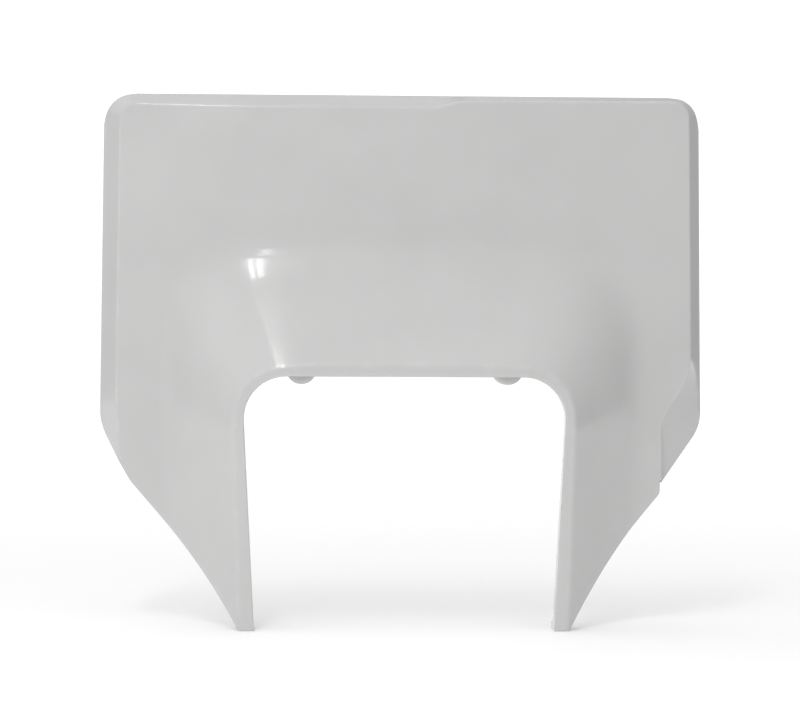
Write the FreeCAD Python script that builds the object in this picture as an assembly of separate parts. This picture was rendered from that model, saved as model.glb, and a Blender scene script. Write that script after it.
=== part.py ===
import FreeCAD, Part
import math
import os
from FreeCAD import Vector

# Headlight mask of an off-road motorbike, one moulded shell.
# Millimetres. X to the right seen from the front, Y to the rear, Z up.
# The origin lies midway between the two lamp bosses, on their seats.

# Shell
wall = 2.6
rim_front = 18.0
brow_height = 30.0
plate_bow_radius = 2000.0
rear_edge = 28.0
hollow_lag = 0.9

# Silhouette of the number field and the legs
field_top = 115.5
field_half_width = 126.9
field_top_taper = 1.3
top_corner_reach = 14.0
waist_height = -23.5
waist_corner_reach = 6.0
field_bottom = -47.0
field_bottom_left = 113.1
field_bottom_right = 109.5
leg_side = 108.1
leg_side_top = -51.6
leg_knee_x = 77.6
leg_knee_z = -87.7
leg_knee_reach = 19.0
leg_foot = -105.7
leg_foot_half_width = 66.9
small_corner_reach = 1.2

# Bevelled edge, each width measured inwards from the silhouette on a plane just ahead of the field
bevel_lead = 3.0
bevel_left = 11.5
bevel_right = 9.0
bevel_top_left = 7.6
bevel_top_right = 4.2
bevel_corner_reach = 7.0
bevel_step_start = 14.0
bevel_step_end = 24.0
bevel_step_reach = 4.2
bevel_left_bend = -14.0
bevel_right_bend = -1.0
bevel_bend_reach = 9.0

# Wide facet beside the right leg, and the small step between the two
facet_width = 28.4
facet_spread = 31.0
facet_height = -18.3
facet_rear_drop = 8.3
facet_reach = 9.0
facet_lean = 13.0
step_side = 108.9
step_cover = 16.0

# Flared brow: line where it meets the rim, and line where it runs out on the field
rim_line_half_width = 70.0
rim_line_top = 1.8
rim_line_blend = 31.0
rim_line_power = 3.0
flare_half_width = 103.5
flare_top = 58.0
flare_power = 4.0
flare_taper = 1.8
flare_straight = 0.6
crown = 0.6

# Lamp opening
opening_half_width = 66.0
opening_top = -3.1
opening_corner_reach = 18.0
opening_taper = 3.0
lip_depth = 7.5
lip_thickness = 2.2

# Rear edge of the legs, seen from the side
leg_rear_top = -42.0
leg_rear_foot = -5.0

# Lamp bosses and the web above each
boss_spacing = 84.0
boss_radius = 6.2
boss_length = 13.0
boss_edge = 1.0
screw_hole_radius = 2.1
screw_hole_depth = 10.5
web_thickness = 2.0
web_top = 36.0
web_rear_top = 8.5
web_rear_foot = -2.0

# Strap pegs
peg_x = 98.0
peg_z = 80.0
peg_radius = 4.0
peg_foot_radius = 6.0
peg_foot_height = 1.5
peg_head_radius = 6.5
peg_head_height = 2.4
peg_end = 27.0

# Plug-in tongues behind the legs
tongue_x = 80.0
tongue_z = -60.0
tongue_width = 12.0
tongue_thickness = 3.0
tongue_end = 37.0
tongue_rib_height = 12.0
tongue_rib_end = 26.0

# Face surface: how far it runs past the part, and the grid steps in each stretch
skin_overrun = 10.0
skin_margin = 8.0
steps_across = (3, 9, 3)
steps_up = (5, 14, 3)

# Far limits that lie outside the part on every side
far_front = -40.0
far_rear = 60.0
far_side = 160.0
far_bottom = -150.0

rim_plane = -rim_front
face_plane = rim_plane + brow_height
bevel_plane = face_plane - bevel_lead


def lies_outside(x, z, share):
    """Whether a point lies outside the nested outline of this share.

    Each outline has straight legs, a straight top and corners of the form |u|^n + |v|^n = 1.
    """
    centre_x = rim_line_half_width - rim_line_blend
    centre_z = rim_line_top - rim_line_blend
    half_width = rim_line_half_width + (flare_half_width - rim_line_half_width) * share
    top = rim_line_top + (flare_top - rim_line_top) * share
    lean = math.tan(math.radians(flare_taper)) * (z - centre_z)
    u = max((abs(x) - lean - centre_x) / (half_width - centre_x), 0.0)
    v = max((z - centre_z) / (top - centre_z), 0.0)
    power = rim_line_power + (flare_power - rim_line_power) * max(share, 0.0)
    return u ** power + v ** power > 1.0


def brow_share(x, z):
    """Which nested outline a point lies on: 0 is the rim line, 1 is where the flare runs out."""
    low = -0.85
    high = 4.0
    while high - low > 1e-9:
        share = (low + high) / 2.0
        if lies_outside(x, z, share):
            low = share
        else:
            high = share
    return low


def brow_rise(share):
    """Straight slope next to the rim, then a soft hollow that runs out level."""
    steep = 2.0 / (1.0 + flare_straight)
    if share < 0.0:
        return 1.0 + crown * (1.0 - math.exp(steep * share / crown))
    if share <= flare_straight:
        return 1.0 - steep * share
    u = min((share - flare_straight) / (1.0 - flare_straight), 1.0)
    return steep * (1.0 - flare_straight) * (0.5 - u + u ** 3 - u ** 4 / 2.0)


def skin_point(x, z):
    bow = x ** 2 / (2.0 * plate_bow_radius)
    return Vector(x, face_plane + bow - brow_height * brow_rise(brow_share(x, z)), z)


def skin_normal(x, z):
    step = 0.05
    along_x = skin_point(x + step, z) - skin_point(x - step, z)
    along_z = skin_point(x, z + step) - skin_point(x, z - step)
    return along_z.cross(along_x).normalize()


def stations(limits, steps):
    """Grid stations from limit to limit, each stretch in even steps."""
    places = [limits[0]]
    for i in range(len(steps)):
        for k in range(1, steps[i] + 1):
            places.append(limits[i] + (limits[i + 1] - limits[i]) * k / steps[i])
    return places


def grid_surface(grid, across, up):
    """Smooth surface through a grid of points, with the grid stations as its parameters."""
    columns = []
    for column in grid:
        up_curve = Part.BSplineCurve()
        up_curve.interpolate(Points=column, Parameters=up)
        columns.append(up_curve.getPoles())
    rows = []
    for row in zip(*columns):
        across_curve = Part.BSplineCurve()
        across_curve.interpolate(Points=list(row), Parameters=across)
        rows.append(across_curve.getPoles())
    poles = [list(column) for column in zip(*rows)]
    surface = Part.BSplineSurface()
    surface.buildFromPolesMultsKnots(
        poles,
        across_curve.getMultiplicities(),
        up_curve.getMultiplicities(),
        across_curve.getKnots(),
        up_curve.getKnots(),
        False,
        False,
        across_curve.Degree,
        up_curve.Degree,
    )
    return surface


def skin_body(depth):
    """Everything behind the face surface, the surface set back by depth along its normals."""
    side_limits = [
        0.0,
        rim_line_half_width - skin_margin,
        flare_half_width + skin_margin,
        field_half_width + skin_overrun,
    ]
    height_limits = [
        leg_foot - skin_overrun,
        rim_line_top - rim_line_blend,
        flare_top + skin_margin,
        field_top + skin_overrun,
    ]
    right = stations(side_limits, steps_across)
    left = [-x for x in reversed(right[1:])]
    heights = stations(height_limits, steps_up)
    across = left + right
    grid = []
    for x in across:
        grid.append([skin_point(x, z) + skin_normal(x, z) * depth for z in heights])
    surface = grid_surface(grid, across, heights)
    return surface.toShape().extrude(Vector(0, 2.0 * far_rear, 0))


def side_line(corners, index, inset):
    """Start point and direction of one side of an outline, moved inwards by inset."""
    start = corners[index]
    end = corners[(index + 1) % len(corners)]
    run = math.hypot(end[0] - start[0], end[1] - start[1])
    way_x = (end[0] - start[0]) / run
    way_z = (end[1] - start[1]) / run
    return start[0] - way_z * inset, start[1] + way_x * inset, way_x, way_z


def rounded_corner(corners, index, y, inset):
    """Start, middle and end of the arc at one corner."""
    px, pz, ax, az = side_line(corners, index - 1, inset)
    x, z, bx, bz = side_line(corners, index, inset)
    cross = ax * bz - az * bx
    turn = math.atan2(cross, ax * bx + az * bz)
    if abs(cross) > 1e-6:
        along = ((x - px) * bz - (z - pz) * bx) / cross
        x = px + ax * along
        z = pz + az * along
    reach = 0.0
    if corners[index][2] > 0.0:
        reach = max(corners[index][2] - inset * math.tan(turn / 2.0), 0.2)
    start = Vector(x - ax * reach, y, z - az * reach)
    end = Vector(x + bx * reach, y, z + bz * reach)
    chord = end - start
    bulge = Vector(chord.z, 0, -chord.x) * (0.5 * math.tan(turn / 4.0))
    return start, (start + end) * 0.5 + bulge, end


def outline(corners, y, inset=0.0):
    """Closed wire in the plane y through corners (x, z, reach), anticlockwise seen from the front.

    Each corner is an arc that begins reach before the corner and ends reach after it.
    """
    arcs = [rounded_corner(corners, i, y, inset) for i in range(len(corners))]
    edges = []
    for i in range(len(arcs)):
        start, middle, end = arcs[i]
        length = start.distanceToPoint(end)
        if length > 0.0 and middle.distanceToLine(start, end - start) > 1e-5:
            edges.append(Part.Arc(start, middle, end).toShape())
        elif length > 0.0:
            edges.append(Part.makeLine(start, end))
        edges.append(Part.makeLine(end, arcs[(i + 1) % len(arcs)][0]))
    return Part.Wire(edges)


def prism(corners, front, rear, inset=0.0):
    face = Part.Face(outline(corners, front, inset))
    return face.extrude(Vector(0, rear - front, 0))


silhouette = [
    (-field_bottom_left, field_bottom, small_corner_reach),
    (-leg_knee_x, leg_knee_z, leg_knee_reach),
    (-leg_foot_half_width, leg_foot, small_corner_reach),
    (leg_foot_half_width, leg_foot, small_corner_reach),
    (leg_knee_x, leg_knee_z, leg_knee_reach),
    (leg_side, leg_side_top, small_corner_reach),
    (leg_side, field_bottom, 0.0),
    (field_bottom_right, field_bottom, 0.0),
    (field_half_width, waist_height, waist_corner_reach),
    (field_half_width - field_top_taper, field_top, top_corner_reach),
    (-field_half_width + field_top_taper, field_top, top_corner_reach),
    (-field_half_width, waist_height, waist_corner_reach),
]

face_left = bevel_left - field_half_width
face_right = field_half_width - bevel_right
face_top_left = field_top - bevel_top_left
face_top_right = field_top - bevel_top_right
face_left_lean = math.atan((-face_left - field_bottom_left) / (bevel_left_bend - field_bottom))
face_left_foot = face_left + math.tan(face_left_lean) * (bevel_left_bend - far_bottom)
facet_x = field_half_width - facet_width
facet_foot = facet_x - math.tan(math.radians(facet_lean)) * (facet_height - far_bottom)
face_line = [
    (face_left_foot, far_bottom, 0.0),
    (facet_foot, far_bottom, 0.0),
    (facet_x, facet_height, facet_reach),
    (face_right, bevel_right_bend, bevel_bend_reach),
    (face_right - field_top_taper, face_top_right, bevel_corner_reach),
    (bevel_step_end, face_top_right, bevel_step_reach),
    (bevel_step_start, face_top_left, bevel_step_reach),
    (face_left + field_top_taper, face_top_left, bevel_corner_reach),
    (face_left, bevel_left_bend, bevel_bend_reach),
]
spreads = [
    (-bevel_left, 0.0),
    (facet_spread, 0.0),
    (facet_spread, -facet_rear_drop),
    (bevel_right, 0.0),
    (bevel_right, bevel_top_right),
    (0.0, bevel_top_right),
    (0.0, bevel_top_left),
    (-bevel_left, bevel_top_left),
    (-bevel_left, 0.0),
]
rear_line = []
for corner, spread in zip(face_line, spreads):
    rear_line.append((corner[0] + spread[0], corner[1] + spread[1], corner[2]))

leg_block = [
    (0.0, far_bottom, 0.0),
    (step_side, far_bottom, 0.0),
    (step_side, facet_height + step_cover, 0.0),
    (0.0, facet_height + step_cover, 0.0),
]


def bevelled_body(inset, lag):
    """Straight up to the bevel plane, then spreading towards the rear edge."""
    ahead = outline(face_line, far_front, inset)
    start = outline(face_line, bevel_plane + lag, inset)
    end = outline(rear_line, rear_edge + lag, inset)
    return Part.makeLoft([ahead, start, end], True, True)


def mask_form(inset, depth, lag):
    """Solid form of the mask with all its outer faces moved inwards."""
    edge = bevelled_body(inset, lag).fuse(prism(leg_block, far_front, rear_edge + lag, inset))
    form = prism(silhouette, far_front, rear_edge + lag, inset).common(edge)
    form = form.common(skin_body(depth))
    ahead = Part.makeBox(2.0 * far_side, far_rear, 2.0 * far_side)
    ahead.translate(Vector(-far_side, rim_plane + depth - far_rear, -far_side))
    return form.cut(ahead)


def behind_legs():
    """Space behind the slanting rear edge of the legs."""
    fall = (rear_edge - leg_rear_foot) / (leg_rear_top - leg_foot)
    low = leg_rear_foot - fall * (leg_foot - far_bottom)
    points = [
        Vector(-far_side, rear_edge, leg_rear_top),
        Vector(-far_side, low, far_bottom),
        Vector(-far_side, far_rear, far_bottom),
        Vector(-far_side, far_rear, leg_rear_top),
    ]
    face = Part.Face(Part.makePolygon(points + points[:1]))
    return face.extrude(Vector(2.0 * far_side, 0, 0))


def opening_corners():
    lean = math.tan(math.radians(opening_taper)) * (opening_top - far_bottom)
    return [
        (-opening_half_width + lean, far_bottom, 0.0),
        (opening_half_width - lean, far_bottom, 0.0),
        (opening_half_width, opening_top, opening_corner_reach),
        (-opening_half_width, opening_top, opening_corner_reach),
    ]


def mirrored(shape):
    return shape.mirror(Vector(0, 0, 0), Vector(1, 0, 0))


def turned(profile):
    """Solid of revolution about the Y axis from (radius, y) points."""
    points = [Vector(radius, y, 0) for radius, y in profile]
    face = Part.Face(Part.makePolygon(points + points[:1]))
    return face.revolve(Vector(0, 0, 0), Vector(0, 1, 0), 360)


def lamp_boss():
    """Round boss with a broken front edge, and a web that ties it to the brow."""
    boss = turned([
        (0.0, -boss_length),
        (boss_radius - boss_edge, -boss_length),
        (boss_radius, boss_edge - boss_length),
        (boss_radius, 0.0),
        (0.0, 0.0),
    ])
    points = [
        Vector(-web_thickness / 2.0, rim_plane, 0),
        Vector(-web_thickness / 2.0, web_rear_foot, 0),
        Vector(-web_thickness / 2.0, web_rear_foot, boss_radius),
        Vector(-web_thickness / 2.0, web_rear_top, web_top),
        Vector(-web_thickness / 2.0, rim_plane, web_top),
    ]
    web = Part.Face(Part.makePolygon(points + points[:1])).extrude(Vector(web_thickness, 0, 0))
    shape = boss.fuse(web)
    shape.translate(Vector(boss_spacing / 2.0, 0, 0))
    return shape


def screw_hole():
    end = Vector(boss_spacing / 2.0, -screw_hole_depth, 0)
    return Part.makeCylinder(screw_hole_radius, screw_hole_depth, end, Vector(0, 1, 0))


def strap_peg():
    """Turned peg with a wide foot on the wall and a head that keeps the strap on."""
    seat = skin_point(peg_x, peg_z).y + wall
    neck = peg_end - peg_head_height
    peg = turned([
        (0.0, face_plane),
        (peg_foot_radius, face_plane),
        (peg_foot_radius, seat + peg_foot_height),
        (peg_radius, seat + peg_foot_height),
        (peg_radius, neck),
        (peg_head_radius, neck),
        (peg_head_radius, peg_end - peg_head_height / 2.0),
        (peg_radius, peg_end),
        (0.0, peg_end),
    ])
    peg.translate(Vector(peg_x, 0, peg_z))
    return peg


def tongue():
    """Flat tongue with a round end, stiffened by an upright rib."""
    half = tongue_width / 2.0
    straight = tongue_end - half
    edges = [
        Part.makeLine(Vector(-half, rim_plane, 0), Vector(half, rim_plane, 0)),
        Part.makeLine(Vector(half, rim_plane, 0), Vector(half, straight, 0)),
        Part.Arc(Vector(half, straight, 0), Vector(0, tongue_end, 0), Vector(-half, straight, 0)).toShape(),
        Part.makeLine(Vector(-half, straight, 0), Vector(-half, rim_plane, 0)),
    ]
    plate = Part.Face(Part.Wire(edges)).extrude(Vector(0, 0, tongue_thickness))
    plate.translate(Vector(0, 0, -tongue_thickness / 2.0))
    rib_half = tongue_rib_height / 2.0
    points = [
        Vector(-web_thickness / 2.0, rim_plane, -rib_half),
        Vector(-web_thickness / 2.0, rim_plane, rib_half),
        Vector(-web_thickness / 2.0, tongue_rib_end - rib_half, rib_half),
        Vector(-web_thickness / 2.0, tongue_rib_end, tongue_thickness / 2.0),
        Vector(-web_thickness / 2.0, tongue_rib_end, -tongue_thickness / 2.0),
        Vector(-web_thickness / 2.0, tongue_rib_end - rib_half, -rib_half),
    ]
    rib = Part.Face(Part.makePolygon(points + points[:1])).extrude(Vector(web_thickness, 0, 0))
    shape = plate.fuse(rib)
    shape.translate(Vector(tongue_x, 0, tongue_z))
    return shape


def mask_shell():
    form = mask_form(0.0, 0.0, 0.0).cut(behind_legs())
    lip = prism(opening_corners(), far_front, rim_plane + lip_depth, -lip_thickness)
    hollow = mask_form(wall, wall, hollow_lag).cut(lip)
    opening = prism(opening_corners(), far_front, far_rear)
    shell = form.cut(hollow).cut(opening)
    middle_of_wall = skin_body(wall / 2.0)
    for piece in (lamp_boss(), strap_peg(), tongue()):
        trimmed = piece.common(middle_of_wall)
        shell = shell.fuse([trimmed, mirrored(trimmed)])
    return shell.cut([screw_hole(), mirrored(screw_hole())]).removeSplitter()


os.makedirs("parts", exist_ok=True)
shape = mask_shell()
shape.exportStep("parts/mask_shell.step")
print("mask_shell", shape.isValid(), len(shape.Solids), round(shape.Volume / 1000.0, 1), "cm3")
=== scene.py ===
import math

import bmesh
import bpy
import numpy as np
from mathutils import Matrix, Vector


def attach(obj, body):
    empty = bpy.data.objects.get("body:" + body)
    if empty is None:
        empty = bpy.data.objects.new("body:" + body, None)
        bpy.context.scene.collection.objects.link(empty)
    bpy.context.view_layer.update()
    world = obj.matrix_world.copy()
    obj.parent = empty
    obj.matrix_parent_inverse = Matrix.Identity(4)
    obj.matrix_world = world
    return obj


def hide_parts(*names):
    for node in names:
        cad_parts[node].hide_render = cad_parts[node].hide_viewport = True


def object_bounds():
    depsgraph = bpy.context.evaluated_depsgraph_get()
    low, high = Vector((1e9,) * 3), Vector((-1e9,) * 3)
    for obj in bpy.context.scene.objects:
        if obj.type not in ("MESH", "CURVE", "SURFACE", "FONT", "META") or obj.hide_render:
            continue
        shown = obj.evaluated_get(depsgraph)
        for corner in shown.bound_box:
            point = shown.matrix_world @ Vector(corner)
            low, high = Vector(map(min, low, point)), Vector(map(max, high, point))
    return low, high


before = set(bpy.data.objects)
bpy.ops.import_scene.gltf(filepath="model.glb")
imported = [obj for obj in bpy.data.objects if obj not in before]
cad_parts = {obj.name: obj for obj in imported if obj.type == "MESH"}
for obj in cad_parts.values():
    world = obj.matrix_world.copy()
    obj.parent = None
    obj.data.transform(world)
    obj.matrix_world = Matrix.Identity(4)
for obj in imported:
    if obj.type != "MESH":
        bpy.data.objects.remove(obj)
cad_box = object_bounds()

# Sizes of the shell in millimetres, in the frame of the solids: X right, Y to the rear, Z up
MM = 0.001
WALL = 2.6
RIM_PLANE = -18.0
BROW_HEIGHT = 30.0
FACE_PLANE = RIM_PLANE + BROW_HEIGHT
PLATE_BOW_RADIUS = 2000.0
REAR_EDGE = 28.0
HOLLOW_LAG = 0.9

# Silhouette of the number field and the legs
FIELD_TOP = 115.5
FIELD_HALF_WIDTH = 126.9
FIELD_TOP_TAPER = 1.3
TOP_CORNER_REACH = 14.0
WAIST_HEIGHT = -23.5
WAIST_CORNER_REACH = 6.0
FIELD_BOTTOM = -47.0
FIELD_BOTTOM_LEFT = 113.1
FIELD_BOTTOM_RIGHT = 109.5
LEG_SIDE = 108.1
LEG_SIDE_TOP = -51.6
LEG_KNEE = (77.6, -87.7)
LEG_KNEE_REACH = 19.0
LEG_FOOT = -105.7
LEG_FOOT_HALF_WIDTH = 66.9
SMALL_CORNER_REACH = 1.2
LEG_REAR_TOP = -42.0
LEG_REAR_FOOT = -5.0

# Bevelled edge, each width measured inwards from the silhouette on the bevel plane
BEVEL_PLANE = FACE_PLANE - 3.0
BEVEL_LEFT = 11.5
BEVEL_RIGHT = 9.0
BEVEL_TOP_LEFT = 7.6
BEVEL_TOP_RIGHT = 4.2
BEVEL_CORNER_REACH = 7.0
BEVEL_STEP_START = 14.0
BEVEL_STEP_END = 24.0
BEVEL_STEP_REACH = 4.2
BEVEL_LEFT_BEND = -14.0
BEVEL_RIGHT_BEND = -1.0
BEVEL_BEND_REACH = 9.0
FACET_WIDTH = 28.4
FACET_SPREAD = 31.0
FACET_HEIGHT = -18.3
FACET_REAR_DROP = 8.3
FACET_REACH = 9.0
FACET_LEAN = math.radians(13.0)
STEP_SIDE = 108.9
STEP_TOP = FACET_HEIGHT + 16.0

# Flared brow and lamp opening
RIM_LINE_HALF_WIDTH = 70.0
RIM_LINE_TOP = 1.8
RIM_LINE_BLEND = 31.0
RIM_LINE_POWER = 3.0
FLARE_HALF_WIDTH = 103.5
FLARE_TOP = 58.0
FLARE_POWER = 4.0
FLARE_TAPER = math.radians(1.8)
FLARE_STRAIGHT = 0.6
CROWN = 0.6
OPENING_HALF_WIDTH = 66.0
OPENING_TOP = -3.1
OPENING_CORNER_REACH = 18.0
OPENING_TAPER = math.radians(3.0)
LIP_DEPTH = 7.5
LIP_THICKNESS = 2.2

# Fixings behind the shell
BOSS_X = 42.0
BOSS_RADIUS = 6.2
BOSS_LENGTH = 13.0
BOSS_EDGE = 1.0
SCREW_HOLE_RADIUS = 2.1
SCREW_HOLE_DEPTH = 10.5
WEB_THICKNESS = 2.0
WEB_TOP = 36.0
WEB_REAR_TOP = 8.5
WEB_REAR_FOOT = -2.0
PEG_PLACE = (98.0, 80.0)
PEG_RADIUS = 4.0
PEG_FOOT_RADIUS = 6.0
PEG_FOOT_HEIGHT = 1.5
PEG_HEAD_RADIUS = 6.5
PEG_HEAD_HEIGHT = 2.4
PEG_END = 27.0
TONGUE_PLACE = (80.0, -60.0)
TONGUE_WIDTH = 12.0
TONGUE_THICKNESS = 3.0
TONGUE_END = 36.98
TONGUE_RIB_HEIGHT = 12.0
TONGUE_RIB_END = 26.0

# Rounding of the moulded edges: run of the rounding on each side of an edge
OPENING_ROUND = 0.7
RIM_ROUND = 1.1
CREASE_ROUND = 1.0
EDGE_ROUND = 0.6
EDGE_SHARE = 0.45
LEAST_EDGE = 0.7
CREASE_GAP = 0.1
REAR_LEDGE = 0.3
LIP_LEDGE = 0.01
FOOT_LEAST_DEPTH = 0.2
SHELL_SHARP = math.radians(38.0)
FIXING_ROUND = 0.3
FIXING_ROUND_STEPS = 2
FIXING_ROUND_FROM = math.radians(35.0)
FIXING_SHARP = math.radians(30.0)

# Mesh: spacing of the stations round the shell and number of points in each stretch of a section
LEG_SPACING = 1.2
FAN_SPACING = 1.1
TOP_SPACING = 0.8
FOOT_STATIONS = (0.0, 0.08, 0.25, 0.5, 0.9, 1.6, WALL - 0.02, WALL + 0.02)
STEP_STATIONS = (-0.06, 0.06, 0.5, 0.9, 1.3, 1.7, 2.1, 2.5)
ARC_POINTS = 14
LIP_POINTS = 3
OPENING_ROUND_POINTS = 7
BAND_POINTS = 3
RIM_ROUND_POINTS = 8
SKIN_POINTS = 46
SKIN_GATHERING = 0.8
CREASE_ROUND_POINTS = 7
BEVEL_POINTS = 5
EDGE_ROUND_POINTS = 5
WALL_POINTS = 2
INNER_POINTS = 30
TURN_STEPS = 48
WEB_POINTS = 12
TONGUE_FOOT_POINTS = 7
TONGUE_END_POINTS = 17
RIB_FOOT_POINTS = 5
MERGE_DISTANCE = 1e-4

# Plastic: tone and gloss, and the scale and strength of their variations
PLASTIC_TONE = 0.542
PLASTIC_TINT = (1.0, 1.0, 0.995)
PLASTIC_IOR = 1.49
PLASTIC_SPECULAR = 0.3
COAT_WEIGHT = 0.4
COAT_ROUGHNESS = 0.2
COAT_IOR = 1.45
CLOUD_SCALE = 35.0
CLOUD_SHADE = 0.012
HAZE_SCALE = 160.0
HAZE_GLOSS = -0.01
HAZE_DULL = 0.02
RUB_START = 0.45
RUB_END = 0.7
RUB_SHADE = 0.02
RUB_DULL = 0.12
NOISE_LOW = 0.3
NOISE_HIGH = 0.7

# Roughness, scale of the surface grain and its height in metres
GLOSS_FINISH = (0.075, 700.0, 0.000004)
SATIN_FINISH = (0.4, 2200.0, 0.00003)

# Studio floor, in metres: paper that glows more with its distance from the mask
FLOOR_RADIUS = 2.5
FLOOR_SIDES = 96
PAPER_DARK = 0.89
PAPER_PALE = 0.92
PAPER_SCALE = 400.0
PAPER_BUMP = 0.3
PAPER_BUMP_HEIGHT = 0.0001
PAPER_ROUGHNESS = 0.8
FLOOR_GLOW_NEAR = 0.15
FLOOR_GLOW_FAR = 0.36
GLOW_START = 0.3
GLOW_END = 1.5

# Sky: an even level, a ring above the horizon, soft lights by direction and strength, and a white ground
SKY_BASE = 0.09
SKY_RING = 0.14
SKY_RING_TOP = 0.6
SKY_SIDES = (
    ((0.0, 0.0, 1.0), 0.74),
    ((0.0, -1.0, 0.0), 0.1),
    ((-0.6, -0.8, 0.0), 0.1),
    ((-0.6, 0.0, 0.8), 0.36),
)
SKY_BEHIND = 0.88
SKY_BEHIND_START = 0.94
SKY_BEHIND_END = 0.975

# Lights that face the highlight on the brow: name, distance in metres, start and end as azimuth and elevation
# in degrees, width in metres, power in watts, and whether the gloss mirrors them
HIGHLIGHT = Vector((-0.06, 0.008, 0.039))
LIGHTS = (
    ("window_left", 1.6, (-10.9, 41.0), (-22.6, 63.2), 0.042, 1.5, True),
    ("window_right", 1.6, (-8.2, 42.0), (-16.9, 64.1), 0.042, 1.5, True),
    ("window_low", 1.6, (-5.3, 27.0), (-6.8, 38.0), 0.025, 0.4, True),
    ("curtain", 1.6, (-8.0, 36.0), (-24.0, 70.0), 0.22, 0.4, True),
    ("near_left", 0.45, (-8.0, -4.0), (-28.0, 16.0), 0.25, 0.24, False),
)

# Camera: lens and sensor in millimetres, places in metres
CAMERA_LENS = 107.08
CAMERA_SENSOR = 36.0
CAMERA_YAW = math.radians(1.99)
CAMERA_ROLL = math.radians(0.26)
CAMERA_DISTANCE = 1.0
CAMERA_TARGET = Vector((-0.00085, 0.022, 0.00379))

# Centre of the brow's round corners, and limits and steps of the formulas
FAR_BOTTOM = -150.0
FAR_FRONT = -1000.0
LEAST_SHARE = -0.85
MOST_SHARE = 4.0
HALVINGS = 32
SLOPE_STEP = 0.1
LEAST_REACH = 0.05
LINE_SAMPLES = 500
BEVEL_OVERRUN = 1.2
BEVEL_SLICES = 13
BEVEL_LEAD = 1e-4
TINY = 1e-6
HIT_MARGIN = 1e-9
NEAR_ZERO = 1e-12
CENTRE_X = RIM_LINE_HALF_WIDTH - RIM_LINE_BLEND
CENTRE_Z = RIM_LINE_TOP - RIM_LINE_BLEND


def lies_outside(x, z, share):
    """Whether points lie outside the nested brow outlines of these shares."""
    half_width = RIM_LINE_HALF_WIDTH + (FLARE_HALF_WIDTH - RIM_LINE_HALF_WIDTH) * share
    top = RIM_LINE_TOP + (FLARE_TOP - RIM_LINE_TOP) * share
    lean = math.tan(FLARE_TAPER) * (z - CENTRE_Z)
    u = np.maximum((np.abs(x) - lean - CENTRE_X) / (half_width - CENTRE_X), 0.0)
    v = np.maximum((z - CENTRE_Z) / (top - CENTRE_Z), 0.0)
    power = RIM_LINE_POWER + (FLARE_POWER - RIM_LINE_POWER) * np.maximum(share, 0.0)
    return u ** power + v ** power > 1.0


def brow_share(x, z):
    """Share of the nested brow outline that runs through each point, found by halving."""
    low = np.full(x.shape, LEAST_SHARE)
    high = np.full(x.shape, MOST_SHARE)
    for _ in range(HALVINGS):
        share = (low + high) / 2.0
        outside = lies_outside(x, z, share)
        low = np.where(outside, share, low)
        high = np.where(outside, high, share)
    return low


def brow_rise(share):
    """Height of the brow at a share, in brow heights: crowned, then straight, then hollow into the field."""
    steep = 2.0 / (1.0 + FLARE_STRAIGHT)
    crowned = 1.0 + CROWN * (1.0 - np.exp(steep * np.minimum(share, 0.0) / CROWN))
    straight = 1.0 - steep * share
    u = np.clip((share - FLARE_STRAIGHT) / (1.0 - FLARE_STRAIGHT), 0.0, 1.0)
    hollow = steep * (1.0 - FLARE_STRAIGHT) * (0.5 - u + u ** 3 - u ** 4 / 2.0)
    return np.where(share < 0.0, crowned, np.where(share <= FLARE_STRAIGHT, straight, hollow))


def skin(x, z):
    """Depth of the face surface."""
    return FACE_PLANE + x ** 2 / (2.0 * PLATE_BOW_RADIUS) - BROW_HEIGHT * brow_rise(brow_share(x, z))


def inner_skin(x, z):
    """Depth of the face surface's inner side, one wall behind it."""
    along_x = (skin(x + SLOPE_STEP, z) - skin(x - SLOPE_STEP, z)) / (2.0 * SLOPE_STEP)
    along_z = (skin(x, z + SLOPE_STEP) - skin(x, z - SLOPE_STEP)) / (2.0 * SLOPE_STEP)
    return skin(x, z) + WALL * np.sqrt(1.0 + along_x ** 2 + along_z ** 2)


def arc_point(corner, way, reach, turn, share):
    """Point on the arc that begins reach before a corner and turns there from its way."""
    start = corner - way * reach
    if abs(turn) < TINY:
        return start + way * (2.0 * reach * share)
    side = np.array((-way[1], way[0]))
    radius = reach / math.tan(turn / 2.0)
    angle = turn * share
    return start + way * (radius * math.sin(angle)) + side * (radius * (1.0 - math.cos(angle)))


def rounded_loop(corners, inset=0.0):
    """Points of a closed outline with an arc at each corner (x, z, reach), moved inwards by inset."""
    count = len(corners)
    sides = []
    for i in range(count):
        start = np.array(corners[i][:2])
        end = np.array(corners[(i + 1) % count][:2])
        way = (end - start) / np.linalg.norm(end - start)
        sides.append((start + inset * np.array((-way[1], way[0])), way))
    points = []
    for i in range(count):
        start, before = sides[i - 1]
        place, after = sides[i]
        cross = before[0] * after[1] - before[1] * after[0]
        turn = math.atan2(cross, before @ after)
        corner = place
        if abs(turn) > TINY:
            gap = place - start
            corner = start + before * (gap[0] * after[1] - gap[1] * after[0]) / cross
        reach = max(corners[i][2] - inset * math.tan(turn / 2.0), LEAST_REACH)
        for k in range(ARC_POINTS + 1):
            points.append(arc_point(corner, before, reach, turn, k / ARC_POINTS))
    return np.array(points)


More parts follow.
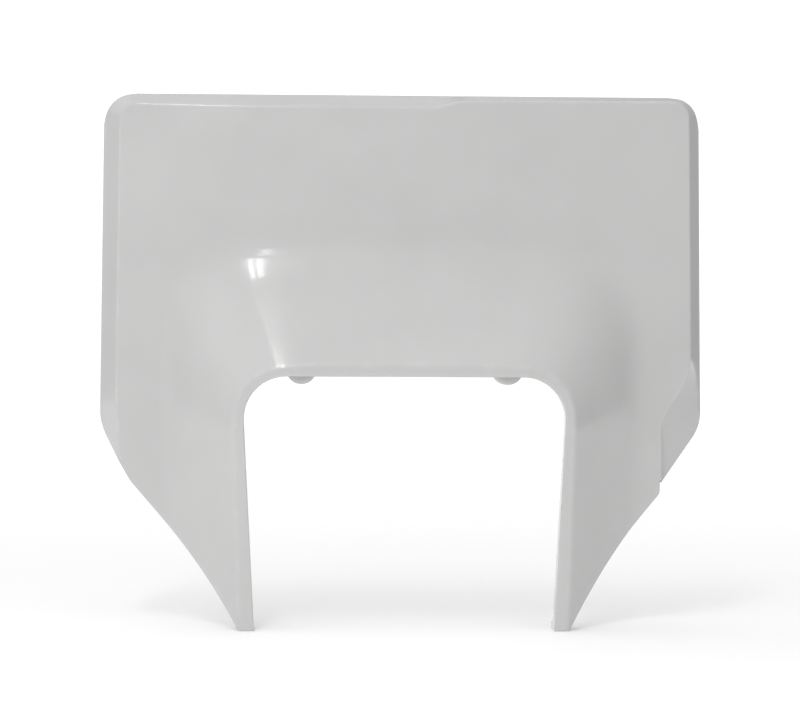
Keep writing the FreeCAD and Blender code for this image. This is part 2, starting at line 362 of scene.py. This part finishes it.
def ray_reach(origins, ways, loop):
    """How far each ray runs until it leaves the closed loop."""
    start = loop[None]
    side = np.roll(loop, -1, axis=0)[None] - start
    gap = start - origins[:, None]
    cross = ways[:, None, 0] * side[..., 1] - ways[:, None, 1] * side[..., 0]
    cross = np.where(np.abs(cross) < NEAR_ZERO, NEAR_ZERO, cross)
    run = (gap[..., 0] * side[..., 1] - gap[..., 1] * side[..., 0]) / cross
    share = (gap[..., 0] * ways[:, None, 1] - gap[..., 1] * ways[:, None, 0]) / cross
    hit = (share >= -HIT_MARGIN) & (share <= 1.0 + HIT_MARGIN) & (run > 0.0)
    return np.where(hit, run, 0.0).max(axis=1)


SILHOUETTE = [
    (-FIELD_BOTTOM_LEFT, FIELD_BOTTOM, SMALL_CORNER_REACH),
    (-LEG_KNEE[0], LEG_KNEE[1], LEG_KNEE_REACH),
    (-LEG_FOOT_HALF_WIDTH, LEG_FOOT, SMALL_CORNER_REACH),
    (LEG_FOOT_HALF_WIDTH, LEG_FOOT, SMALL_CORNER_REACH),
    (LEG_KNEE[0], LEG_KNEE[1], LEG_KNEE_REACH),
    (LEG_SIDE, LEG_SIDE_TOP, SMALL_CORNER_REACH),
    (LEG_SIDE, FIELD_BOTTOM, 0.0),
    (FIELD_BOTTOM_RIGHT, FIELD_BOTTOM, 0.0),
    (FIELD_HALF_WIDTH, WAIST_HEIGHT, WAIST_CORNER_REACH),
    (FIELD_HALF_WIDTH - FIELD_TOP_TAPER, FIELD_TOP, TOP_CORNER_REACH),
    (-FIELD_HALF_WIDTH + FIELD_TOP_TAPER, FIELD_TOP, TOP_CORNER_REACH),
    (-FIELD_HALF_WIDTH, WAIST_HEIGHT, WAIST_CORNER_REACH),
]


def bevel_lines():
    """Outline where the bevel starts, on the bevel plane, and where it ends, on the rear edge plane."""
    left = BEVEL_LEFT - FIELD_HALF_WIDTH
    right = FIELD_HALF_WIDTH - BEVEL_RIGHT
    top_left = FIELD_TOP - BEVEL_TOP_LEFT
    top_right = FIELD_TOP - BEVEL_TOP_RIGHT
    lean = (-left - FIELD_BOTTOM_LEFT) / (BEVEL_LEFT_BEND - FIELD_BOTTOM)
    facet_x = FIELD_HALF_WIDTH - FACET_WIDTH
    facet_foot = facet_x - math.tan(FACET_LEAN) * (FACET_HEIGHT - FAR_BOTTOM)
    rows = [
        (left + lean * (BEVEL_LEFT_BEND - FAR_BOTTOM), FAR_BOTTOM, 0.0, -BEVEL_LEFT, 0.0),
        (facet_foot, FAR_BOTTOM, 0.0, FACET_SPREAD, 0.0),
        (facet_x, FACET_HEIGHT, FACET_REACH, FACET_SPREAD, -FACET_REAR_DROP),
        (right, BEVEL_RIGHT_BEND, BEVEL_BEND_REACH, BEVEL_RIGHT, 0.0),
        (right - FIELD_TOP_TAPER, top_right, BEVEL_CORNER_REACH, BEVEL_RIGHT, BEVEL_TOP_RIGHT),
        (BEVEL_STEP_END, top_right, BEVEL_STEP_REACH, 0.0, BEVEL_TOP_RIGHT),
        (BEVEL_STEP_START, top_left, BEVEL_STEP_REACH, 0.0, BEVEL_TOP_LEFT),
        (left + FIELD_TOP_TAPER, top_left, BEVEL_CORNER_REACH, -BEVEL_LEFT, BEVEL_TOP_LEFT),
        (left, BEVEL_LEFT_BEND, BEVEL_BEND_REACH, -BEVEL_LEFT, 0.0),
    ]
    start = [(x, z, reach) for x, z, reach, _, _ in rows]
    end = [(x + dx, z + dz, reach) for x, z, reach, dx, dz in rows]
    return start, end


def opening_line():
    """Outline of the lamp opening, open far below the feet."""
    lean = math.tan(OPENING_TAPER) * (OPENING_TOP - FAR_BOTTOM)
    return [
        (-OPENING_HALF_WIDTH + lean, FAR_BOTTOM, 0.0),
        (OPENING_HALF_WIDTH - lean, FAR_BOTTOM, 0.0),
        (OPENING_HALF_WIDTH, OPENING_TOP, OPENING_CORNER_REACH),
        (-OPENING_HALF_WIDTH, OPENING_TOP, OPENING_CORNER_REACH),
    ]


def spaced(points, spacing):
    """Points at even spacing along an open line."""
    steps = np.linalg.norm(np.diff(points, axis=0), axis=1)
    run = np.concatenate(([0.0], np.cumsum(steps)))
    at = np.linspace(0.0, run[-1], int(round(run[-1] / spacing)) + 1)
    return np.stack([np.interp(at, run, points[:, 0]), np.interp(at, run, points[:, 1])], axis=1)


def leg_heights():
    """Heights of the leg stations from the foot up, close together in the foot's wall and at the step."""
    foot = LEG_FOOT + np.array(FOOT_STATIONS)
    rest = np.arange(foot[-1] + LEG_SPACING, CENTRE_Z - 0.5 * LEG_SPACING, LEG_SPACING)
    step = FIELD_BOTTOM + np.array(STEP_STATIONS)
    return np.unique(np.concatenate((foot, rest, step)))


def stations():
    """Rays from inside the opening: up the left leg, round the field and down the right leg."""
    legs = leg_heights()
    left_leg = [((0.0, z), (-1.0, 0.0)) for z in legs]
    right_leg = [((0.0, z), (1.0, 0.0)) for z in legs[::-1]]
    loop = rounded_loop(SILHOUETTE)
    corner = loop[(loop[:, 0] > CENTRE_X) & (loop[:, 1] > CENTRE_Z)]
    waist = np.array(((FIELD_HALF_WIDTH, CENTRE_Z),))
    crown = np.array(((CENTRE_X, FIELD_TOP),))
    upper = spaced(np.concatenate((waist, corner, crown)), FAN_SPACING)
    fan = []
    for x, z in upper:
        run = math.hypot(x - CENTRE_X, z - CENTRE_Z)
        fan.append(((x - CENTRE_X) / run, (z - CENTRE_Z) / run))
    left_fan = [((-CENTRE_X, CENTRE_Z), (-ux, uz)) for ux, uz in fan]
    right_fan = [((CENTRE_X, CENTRE_Z), (ux, uz)) for ux, uz in reversed(fan)]
    across = np.linspace(-CENTRE_X, CENTRE_X, int(round(2.0 * CENTRE_X / TOP_SPACING)) + 1)[1:-1]
    top = [((x, CENTRE_Z), (0.0, 1.0)) for x in across]
    rays = left_leg + left_fan + top + right_fan + right_leg
    return np.array([ray[0] for ray in rays]), np.array([ray[1] for ray in rays])


def first_crossing(distances, values):
    """Where each row of values first rises through zero."""
    above = values > 0.0
    index = np.maximum(above.argmax(axis=1), 1)
    rows = np.arange(len(values))
    low = values[rows, index - 1]
    high = values[rows, index]
    share = np.clip(-low / np.maximum(high - low, HIT_MARGIN), 0.0, 1.0)
    place = distances[rows, index - 1] + share * (distances[rows, index] - distances[rows, index - 1])
    return np.where(above.any(axis=1), place, np.inf)


class Section:
    """Profile of the shell along every ray, as columns of (distance, depth)."""

    def __init__(self):
        self.origins, self.ways = stations()
        self.line_shares = np.linspace(0.0, 1.0, LINE_SAMPLES)
        self.bevel_start, self.bevel_end = bevel_lines()
        self.measure_outlines()
        self.measure_face()

    def at(self, distance):
        """X and Z of points on the rays; distance has one row per ray."""
        x = self.origins[:, :1] + self.ways[:, :1] * distance
        z = self.origins[:, 1:] + self.ways[:, 1:] * distance
        return x, z

    def measure_outlines(self):
        """Distances to the opening and the silhouette, and the depth of the rear edge."""
        rays = (self.origins, self.ways)
        self.opening = ray_reach(*rays, rounded_loop(opening_line()))
        self.lip_side = ray_reach(*rays, rounded_loop(opening_line(), -LIP_THICKNESS))
        self.side = ray_reach(*rays, rounded_loop(SILHOUETTE))
        self.inner_side = ray_reach(*rays, rounded_loop(SILHOUETTE, WALL))
        height = self.at(self.side[:, None])[1][:, 0]
        self.above_foot = height - LEG_FOOT
        self.solid = self.above_foot < WALL
        self.inner_side = np.where(self.solid, self.side - WALL, self.inner_side)
        fall = (REAR_EDGE - LEG_REAR_FOOT) / (LEG_REAR_TOP - LEG_FOOT)
        self.rear = REAR_EDGE - fall * np.maximum(LEG_REAR_TOP - height, 0.0)
        self.lip_rear = np.where(self.solid, self.rear, RIM_PLANE + LIP_DEPTH)

    def measure_face(self):
        """Distances to the rim line and to the crease of the bevel."""
        line = self.opening[:, None] + (self.side - self.opening)[:, None] * self.line_shares
        face = skin(*self.at(line))
        bevel = self.bevel_at(line, 0.0, 0.0)
        rim = first_crossing(line, face - RIM_PLANE)
        self.rim = np.minimum(rim, self.side - RIM_ROUND - 2.0 * CREASE_ROUND - EDGE_ROUND)
        crease = first_crossing(line, bevel - face)
        step = (STEP_SIDE - self.origins[:, 0]) / np.maximum(self.ways[:, 0], TINY)
        beside_leg = (self.ways[:, 0] > 0.0) & (self.at(step[:, None])[1][:, 0] < STEP_TOP)
        crease = np.where(beside_leg, np.maximum(crease, step), crease)
        self.crease = np.minimum(crease, self.side - CREASE_ROUND - EDGE_ROUND / 2.0 - CREASE_GAP)

    def bevel_at(self, distance, inset, lag):
        """Depth of the bevel along the rays, out of play where the leg beside the facet covers it."""
        start = rounded_loop(self.bevel_start, inset)
        end = rounded_loop(self.bevel_end, inset)
        shares = np.linspace(0.0, BEVEL_OVERRUN, BEVEL_SLICES)
        loops = [start + (end - start) * share for share in shares]
        reach = np.stack([ray_reach(self.origins, self.ways, loop) for loop in loops], axis=1)
        depths = BEVEL_PLANE + lag + (REAR_EDGE - BEVEL_PLANE) * shares
        rows = zip(distance, reach)
        depth = np.stack([np.interp(run, known, depths, left=FAR_FRONT) for run, known in rows])
        x, z = self.at(distance)
        covered = (x > 0.0) & (x < STEP_SIDE - inset - TINY) & (z < STEP_TOP - inset)
        return np.where(covered, FAR_FRONT, depth)

    def face_at(self, distance):
        return np.maximum(skin(*self.at(distance)), RIM_PLANE)

    def front_at(self, distance):
        return np.maximum(self.face_at(distance), self.bevel_at(distance, 0.0, 0.0))

    def inside_at(self, distance):
        """Depth of the hollow's surface, no further back than the rear edge."""
        x, z = self.at(distance)
        bevel = self.bevel_at(distance, WALL, HOLLOW_LAG)
        depth = np.maximum(np.maximum(inner_skin(x, z), bevel), RIM_PLANE + WALL)
        depth = np.where(self.solid[:, None], REAR_EDGE, depth)
        return np.minimum(depth, self.rear[:, None])


def bend(start, corner, end, count):
    """Columns of a rounding from start to end, drawn towards the corner."""
    t = np.linspace(0.0, 1.0, count)
    weights = ((1.0 - t) ** 2, 2.0 * t * (1.0 - t), t ** 2)
    columns = []
    for part in (0, 1):
        points = (start[part], corner[part], end[part])
        columns.append(sum(point[:, None] * weight for point, weight in zip(points, weights)))
    return columns


def between(low, high, shares):
    return low[:, None] + (high - low)[:, None] * shares


def even(count):
    """Even shares between two ends, without the ends."""
    return np.linspace(0.0, 1.0, count + 2)[1:-1]


def gathered(count):
    """Shares between two ends that lie closer together near both, without the ends."""
    t = even(count)
    return t - SKIN_GATHERING * np.sin(2.0 * math.pi * t) / (2.0 * math.pi)


def rim_columns(section):
    """Columns of the lip and the flat rim, out to the start of the brow; 1.0 marks a rounded edge."""
    rim_plane = np.full_like(section.side, RIM_PLANE)
    round_start = rim_plane + OPENING_ROUND
    round_end = section.opening + OPENING_ROUND
    lip_line = between(section.opening, section.opening, np.zeros(LIP_POINTS))
    lip = between(section.lip_rear, round_start, np.linspace(0.0, 1.0, LIP_POINTS + 1)[:-1])
    ends = (section.opening, round_start), (section.opening, rim_plane), (round_end, rim_plane)
    opening = bend(*ends, OPENING_ROUND_POINTS)
    band_end = section.rim - RIM_ROUND
    band = between(round_end, band_end, even(BAND_POINTS))
    brow_start = section.rim + RIM_ROUND
    brow_depth = section.face_at(brow_start[:, None])[:, 0]
    ends = (band_end, rim_plane), (section.rim, rim_plane), (brow_start, brow_depth)
    rim = bend(*ends, RIM_ROUND_POINTS)
    return [
        (lip_line, lip, 0.0),
        (*opening, 1.0),
        (band, np.full_like(band, RIM_PLANE), 0.0),
        (*rim, 1.0),
    ]


def brow_columns(section):
    """Columns of the brow, the number field and the bevel, out to the silhouette's edge."""
    crease_start = section.crease - CREASE_ROUND
    brow = between(section.rim + RIM_ROUND, crease_start, gathered(SKIN_POINTS))
    top = section.face_at(section.crease[:, None])[:, 0]
    drop = section.front_at(section.crease[:, None])[:, 0] - top
    lead = np.maximum(CREASE_ROUND - drop, 0.0) / 2.0
    bevel_start = section.crease + lead
    low = section.front_at(bevel_start[:, None])[:, 0]
    ends = (
        (crease_start, section.face_at(crease_start[:, None])[:, 0]),
        (section.crease, top),
        (bevel_start, np.where(lead > 0.0, low, top + CREASE_ROUND)),
    )
    crease = bend(*ends, CREASE_ROUND_POINTS)
    bevel_end = section.side - EDGE_ROUND / 2.0
    shares = np.concatenate(([0.0], even(BEVEL_POINTS)))
    bevel = between(bevel_start + BEVEL_LEAD, bevel_end, shares)
    return [
        (brow, section.face_at(brow), 0.0),
        (*crease, 1.0),
        (bevel, section.front_at(bevel), 0.0),
    ]


def edge_columns(section):
    """Columns round the silhouette's edge to the rear edge."""
    side = section.side
    bevel_end = side - EDGE_ROUND / 2.0
    edge = np.minimum(section.front_at(side[:, None])[:, 0], section.rear - LEAST_EDGE)
    before = np.minimum(section.front_at(bevel_end[:, None])[:, 0], edge)
    turn = np.minimum(EDGE_ROUND, EDGE_SHARE * (section.rear - edge))
    front = bend((bevel_end, before), (side, edge), (side, edge + turn), EDGE_ROUND_POINTS)
    wall_line = between(side, side, np.zeros(WALL_POINTS))
    wall = between(edge + turn, section.rear - turn, even(WALL_POINTS))
    ends = (side, section.rear - turn), (side, section.rear), (side - EDGE_ROUND, section.rear)
    rear = bend(*ends, EDGE_ROUND_POINTS)
    return [
        (*front, 1.0),
        (wall_line, wall, 0.0),
        (*rear, 1.0),
    ]


def hollow_columns(section):
    """Columns of the hollow from the rear edge to the lip's outer side."""
    rear = section.rear[:, None]
    ledge = section.inner_side[:, None] + REAR_LEDGE
    inside = between(section.inner_side, section.lip_side, np.linspace(0.0, 1.0, INNER_POINTS))
    lip = section.lip_side[:, None]
    return [
        (ledge, rear, 0.0),
        (inside, section.inside_at(inside), 0.0),
        (lip - LIP_LEDGE, section.lip_rear[:, None], 0.0),
    ]


def foot_round(section, depth):
    """Rounds the front edge of the feet."""
    missing = np.clip(EDGE_ROUND - section.above_foot, 0.0, EDGE_ROUND)
    back = EDGE_ROUND - np.sqrt(EDGE_ROUND ** 2 - missing ** 2)
    deepest = np.maximum(section.rear - FOOT_LEAST_DEPTH, RIM_PLANE)
    return np.minimum(depth + back[:, None], deepest[:, None])


def shell_mesh():
    """Closed mesh of the shell, kept inside the box of the solid, with its hollow in the second material."""
    section = Section()
    outer = rim_columns(section) + brow_columns(section) + edge_columns(section)
    hollow = hollow_columns(section)
    groups = outer + hollow
    distance = np.concatenate([group[0] for group in groups], axis=1)
    outer_depth = foot_round(section, np.concatenate([group[1] for group in outer], axis=1))
    depth = np.concatenate([outer_depth] + [group[1] for group in hollow], axis=1)
    marks = np.concatenate([np.full(group[0].shape[1], group[2]) for group in groups])
    x, z = section.at(distance)
    rows, columns = distance.shape
    points = np.clip(np.stack([x, depth, z], axis=2).reshape(-1, 3) * MM, *cad_box)
    index = np.arange(rows * columns).reshape(rows, columns)
    ahead = np.roll(index, -1, axis=1)
    quads = np.stack([index[:-1], index[1:], ahead[1:], ahead[:-1]], axis=2).reshape(-1, 4)
    faces = quads.tolist() + [index[0].tolist(), index[-1][::-1].tolist()]
    mesh = bpy.data.meshes.new("shell")
    mesh.from_pydata(points.tolist(), [], faces)
    outer_count = outer_depth.shape[1]
    inside = np.tile(np.arange(columns) >= outer_count - 1, rows - 1)
    mesh.polygons.foreach_set("material_index", np.concatenate((inside, (0, 0))).astype(np.int32))
    layer = mesh.attributes.new("edge_mark", "FLOAT", "POINT")
    layer.data.foreach_set("value", np.tile(marks, rows).astype(np.float32))
    mesh.validate()
    mesh.shade_smooth()
    mesh.set_sharp_from_angle(angle=SHELL_SHARP)
    return mesh


def depth_at(x, z):
    """Depth of the middle of the shell's wall at one place."""
    face = skin(np.array([x]), np.array([z]))[0]
    return max(float(face), RIM_PLANE) + WALL / 2.0


def add_turned(form, profile, place):
    """Adds a solid of revolution about an axis along Y, from (radius, depth) points."""
    x, z = place
    corners = [form.verts.new((x + radius, depth, z)) for radius, depth in profile]
    edges = [form.edges.new(pair) for pair in zip(corners[:-1], corners[1:])]
    bmesh.ops.spin(
        form,
        geom=corners + edges,
        cent=(x, 0.0, z),
        axis=(0.0, 1.0, 0.0),
        angle=2.0 * math.pi,
        steps=TURN_STEPS,
        use_merge=True,
    )


def add_slab(form, points, thickness):
    """Adds a flat piece: a face through the points, thickened evenly on both sides."""
    half = Vector(thickness) / 2.0
    face = form.faces.new([form.verts.new(Vector(point) - half) for point in points])
    made = bmesh.ops.extrude_face_region(form, geom=[face])
    moved = [item for item in made["geom"] if isinstance(item, bmesh.types.BMVert)]
    bmesh.ops.translate(form, verts=moved, vec=half * 2.0)


def add_boss(form, side):
    """Lamp boss with its screw hole, and the web that ties it to the brow."""
    x = side * BOSS_X
    profile = [
        (0.0, -BOSS_LENGTH),
        (BOSS_RADIUS - BOSS_EDGE, -BOSS_LENGTH),
        (BOSS_RADIUS, BOSS_EDGE - BOSS_LENGTH),
        (BOSS_RADIUS, 0.0),
        (SCREW_HOLE_RADIUS, 0.0),
        (SCREW_HOLE_RADIUS, -SCREW_HOLE_DEPTH),
        (0.0, -SCREW_HOLE_DEPTH),
    ]
    add_turned(form, profile, (x, 0.0))
    foot = BOSS_RADIUS / 2.0
    web = [(x, depth_at(x, z), z) for z in np.linspace(foot, WEB_TOP, WEB_POINTS)]
    for depth, z in ((WEB_REAR_TOP, WEB_TOP), (WEB_REAR_FOOT, BOSS_RADIUS), (WEB_REAR_FOOT, foot)):
        web.append((x, depth, z))
    add_slab(form, web, (WEB_THICKNESS, 0.0, 0.0))


def add_peg(form, side):
    """Strap peg with a wide foot and a head."""
    place = (side * PEG_PLACE[0], PEG_PLACE[1])
    middle = depth_at(*place)
    foot = middle + WALL / 2.0 + PEG_FOOT_HEIGHT
    neck = PEG_END - PEG_HEAD_HEIGHT
    profile = [
        (0.0, middle),
        (PEG_FOOT_RADIUS, middle),
        (PEG_FOOT_RADIUS, foot),
        (PEG_RADIUS, foot),
        (PEG_RADIUS, neck),
        (PEG_HEAD_RADIUS, neck),
        (PEG_HEAD_RADIUS, PEG_END - PEG_HEAD_HEIGHT / 2.0),
        (PEG_RADIUS, PEG_END),
        (0.0, PEG_END),
    ]
    add_turned(form, profile, place)


def add_tongue(form, side):
    """Flat tongue with a round end, and the upright rib that stiffens it."""
    x, z = side * TONGUE_PLACE[0], TONGUE_PLACE[1]
    half = TONGUE_WIDTH / 2.0
    plate = [(x + dx, depth_at(x + dx, z), z) for dx in np.linspace(half, -half, TONGUE_FOOT_POINTS)]
    for angle in np.linspace(math.pi, 0.0, TONGUE_END_POINTS):
        plate.append((x + half * math.cos(angle), TONGUE_END - half + half * math.sin(angle), z))
    add_slab(form, plate, (0.0, 0.0, TONGUE_THICKNESS))
    rise = TONGUE_RIB_HEIGHT / 2.0
    rib = [(x, depth_at(x, z + dz), z + dz) for dz in np.linspace(-rise, rise, RIB_FOOT_POINTS)]
    tip = TONGUE_THICKNESS / 2.0
    shoulder = TONGUE_RIB_END - rise
    for depth, dz in ((shoulder, rise), (TONGUE_RIB_END, tip), (TONGUE_RIB_END, -tip), (shoulder, -rise)):
        rib.append((x, depth, z + dz))
    add_slab(form, rib, (WEB_THICKNESS, 0.0, 0.0))


def fixings_mesh():
    """Mesh of the bosses, pegs and tongues, each a closed form that starts inside the shell's wall."""
    form = bmesh.new()
    for side in (-1.0, 1.0):
        add_boss(form, side)
        add_peg(form, side)
        add_tongue(form, side)
    bmesh.ops.remove_doubles(form, verts=form.verts, dist=MERGE_DISTANCE)
    bmesh.ops.recalc_face_normals(form, faces=form.faces)
    bmesh.ops.scale(form, verts=form.verts, vec=(MM, MM, MM))
    mesh = bpy.data.meshes.new("fixings")
    form.to_mesh(mesh)
    form.free()
    mesh.shade_smooth()
    mesh.set_sharp_from_angle(angle=FIXING_SHARP)
    return mesh


def new_object(name, mesh):
    thing = bpy.data.objects.new(name, mesh)
    bpy.context.scene.collection.objects.link(thing)
    return thing


class Nodes:
    """Short way to build a node tree: each call adds one node and links what it is given."""

    def __init__(self, owner):
        owner.use_nodes = True
        self.tree = owner.node_tree
        self.tree.nodes.clear()

    def add(self, kind, settings=None, **inputs):
        node = self.tree.nodes.new(kind)
        for name, value in (settings or {}).items():
            setattr(node, name, value)
        for name, value in inputs.items():
            self.put(node.inputs[name.replace("_", " ")], value)
        return node

    def put(self, socket, value):
        if isinstance(value, bpy.types.NodeSocket):
            self.tree.links.new(value, socket)
        else:
            socket.default_value = value

    def math(self, operation, *values):
        node = self.add("ShaderNodeMath", {"operation": operation})
        for socket, value in zip(node.inputs, values):
            self.put(socket, value)
        return node.outputs["Value"]

    def spread(self, value, low, high, start=0.0, end=1.0):
        """Maps a value from start..end to low..high, held at both ends."""
        node = self.add("ShaderNodeMapRange")
        for socket, given in zip(node.inputs, (value, start, end, low, high)):
            self.put(socket, given)
        return node.outputs["Result"]

    def noise(self, place, scale, detail):
        node = self.add("ShaderNodeTexNoise", Vector=place, Scale=scale, Detail=detail)
        return node.outputs["Fac"]


def plastic(name, roughness, grain_scale, grain_height):
    """White moulded plastic: faint clouding, uneven gloss, fine surface grain and rubbed edges."""
    material = bpy.data.materials.new(name)
    nodes = Nodes(material)
    place = nodes.add("ShaderNodeTexCoord").outputs["Object"]
    cloud = nodes.noise(place, CLOUD_SCALE, detail=3.0)
    haze = nodes.noise(place, HAZE_SCALE, detail=4.0)
    grain = nodes.noise(place, grain_scale, detail=2.0)
    edge = nodes.add("ShaderNodeAttribute", {"attribute_name": "edge_mark"}).outputs["Fac"]
    rubbed = nodes.math("MULTIPLY", edge, nodes.spread(haze, 0.0, 1.0, RUB_START, RUB_END))
    shade = nodes.spread(cloud, -CLOUD_SHADE, CLOUD_SHADE, NOISE_LOW, NOISE_HIGH)
    paler = nodes.math("MULTIPLY", rubbed, RUB_SHADE)
    tone = nodes.math("ADD", nodes.math("ADD", PLASTIC_TONE, shade), paler)
    colour = nodes.add("ShaderNodeCombineColor")
    for socket, tint in zip(colour.inputs, PLASTIC_TINT):
        nodes.put(socket, nodes.math("MULTIPLY", tone, tint))
    dull = nodes.spread(haze, HAZE_GLOSS, HAZE_DULL, NOISE_LOW, NOISE_HIGH)
    duller = nodes.math("MULTIPLY", rubbed, RUB_DULL)
    rough = nodes.math("ADD", nodes.math("ADD", roughness, dull), duller)
    bump = nodes.add("ShaderNodeBump", Height=grain, Strength=1.0, Distance=grain_height)
    shader = nodes.add(
        "ShaderNodeBsdfPrincipled",
        Base_Color=colour.outputs["Color"],
        Roughness=rough,
        IOR=PLASTIC_IOR,
        Specular_IOR_Level=PLASTIC_SPECULAR,
        Coat_Weight=COAT_WEIGHT,
        Coat_Roughness=COAT_ROUGHNESS,
        Coat_IOR=COAT_IOR,
        Normal=bump.outputs["Normal"],
    )
    nodes.add("ShaderNodeOutputMaterial", Surface=shader.outputs["BSDF"])
    return material


def floor_material():
    """Pale studio paper with a faint fibre, lit through from below."""
    material = bpy.data.materials.new("studio_paper")
    nodes = Nodes(material)
    place = nodes.add("ShaderNodeTexCoord").outputs["Object"]
    fibre = nodes.noise(place, PAPER_SCALE, detail=3.0)
    tone = nodes.spread(fibre, PAPER_DARK, PAPER_PALE, NOISE_LOW, NOISE_HIGH)
    colour = nodes.add("ShaderNodeCombineColor", Red=tone, Green=tone, Blue=tone).outputs["Color"]
    bump = nodes.add("ShaderNodeBump", Height=fibre, Strength=PAPER_BUMP, Distance=PAPER_BUMP_HEIGHT)
    run = nodes.add("ShaderNodeVectorMath", {"operation": "LENGTH"}, Vector=place).outputs["Value"]
    glow = nodes.spread(run, FLOOR_GLOW_NEAR, FLOOR_GLOW_FAR, GLOW_START, GLOW_END)
    shader = nodes.add(
        "ShaderNodeBsdfPrincipled",
        Base_Color=colour,
        Roughness=PAPER_ROUGHNESS,
        Normal=bump.outputs["Normal"],
        Emission_Color=colour,
        Emission_Strength=glow,
    )
    nodes.add("ShaderNodeOutputMaterial", Surface=shader.outputs["BSDF"])
    return material


def add_floor():
    form = bmesh.new()
    bmesh.ops.create_circle(form, cap_ends=True, radius=FLOOR_RADIUS, segments=FLOOR_SIDES)
    mesh = bpy.data.meshes.new("floor")
    form.to_mesh(mesh)
    form.free()
    floor = new_object("floor", mesh)
    floor.location.z = LEG_FOOT * MM
    mesh.materials.append(floor_material())


def add_sky():
    """Soft studio surroundings; the white ground lies only straight behind the mask."""
    world = bpy.data.worlds.new("studio")
    bpy.context.scene.world = world
    nodes = Nodes(world)
    way = nodes.add("ShaderNodeTexCoord").outputs["Generated"]
    level = SKY_BASE
    for side, strength in SKY_SIDES:
        node = nodes.add("ShaderNodeVectorMath", {"operation": "DOT_PRODUCT"})
        nodes.put(node.inputs[0], way)
        nodes.put(node.inputs[1], side)
        share = nodes.math("MAXIMUM", node.outputs["Value"], 0.0)
        level = nodes.math("ADD", nodes.math("MULTIPLY", share, strength), level)
    parts = nodes.add("ShaderNodeSeparateXYZ", Vector=way).outputs
    ring = nodes.spread(parts["Z"], SKY_RING, 0.0, 0.0, SKY_RING_TOP)
    behind = nodes.spread(parts["Y"], 0.0, SKY_BEHIND, SKY_BEHIND_START, SKY_BEHIND_END)
    level = nodes.math("ADD", nodes.math("ADD", level, ring), behind)
    background = nodes.add("ShaderNodeBackground", Strength=level)
    nodes.put(background.inputs["Color"], (1.0, 1.0, 1.0, 1.0))
    nodes.add("ShaderNodeOutputWorld", Surface=background.outputs["Background"])


def sky_point(distance, azimuth, elevation):
    """Place of a light: azimuth from straight ahead of the mask towards its right, in degrees."""
    turn = math.radians(azimuth)
    rise = math.radians(elevation)
    way = Vector((math.sin(turn) * math.cos(rise), -math.cos(turn) * math.cos(rise), math.sin(rise)))
    return HIGHLIGHT + way * distance


def add_light(name, distance, start, end, width, power, mirrored):
    """Long soft light between two places in the sky, facing the brow, mirrored in the gloss or not."""
    low = sky_point(distance, *start)
    high = sky_point(distance, *end)
    middle = (low + high) / 2.0
    data = bpy.data.lights.new(name, "AREA")
    data.shape = "RECTANGLE"
    data.size = width
    data.size_y = (high - low).length
    data.energy = power
    light = new_object(name, data)
    light.visible_glossy = mirrored
    ahead = (HIGHLIGHT - middle).normalized()
    along = (high - low).normalized()
    across = along.cross(-ahead).normalized()
    along = (-ahead).cross(across)
    turn = Matrix((across, along, -ahead)).transposed().to_4x4()
    light.matrix_world = Matrix.Translation(middle) @ turn


def add_camera():
    """Camera in front of the mask, level, turned and tilted a little as in the photograph."""
    data = bpy.data.cameras.new("camera")
    data.lens = CAMERA_LENS
    data.sensor_width = CAMERA_SENSOR
    data.sensor_fit = "HORIZONTAL"
    camera = new_object("camera", data)
    look = Vector((math.sin(CAMERA_YAW), math.cos(CAMERA_YAW), 0.0))
    place = Matrix.Translation(CAMERA_TARGET - look * CAMERA_DISTANCE)
    aim = Matrix.Rotation(-CAMERA_YAW, 4, "Z") @ Matrix.Rotation(math.pi / 2.0, 4, "X")
    camera.matrix_world = place @ aim @ Matrix.Rotation(CAMERA_ROLL, 4, "Z")
    bpy.context.scene.camera = camera


def add_part():
    """Shell and fixings, which together stand for the one solid."""
    gloss = plastic("gloss_white", *GLOSS_FINISH)
    satin = plastic("satin_white", *SATIN_FINISH)
    shell = new_object("shell", shell_mesh())
    shell.data.materials.append(gloss)
    shell.data.materials.append(satin)
    fixings = new_object("fixings", fixings_mesh())
    fixings.data.materials.append(satin)
    rounding = fixings.modifiers.new("rounding", "BEVEL")
    rounding.width = FIXING_ROUND * MM
    rounding.segments = FIXING_ROUND_STEPS
    rounding.limit_method = "ANGLE"
    rounding.angle_limit = FIXING_ROUND_FROM
    for piece in (shell, fixings):
        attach(piece, "root")
        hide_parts("mask_shell")


add_part()
add_floor()
add_sky()
for light in LIGHTS:
    add_light(*light)
add_camera()
bpy.context.scene.view_settings.view_transform = "Standard"
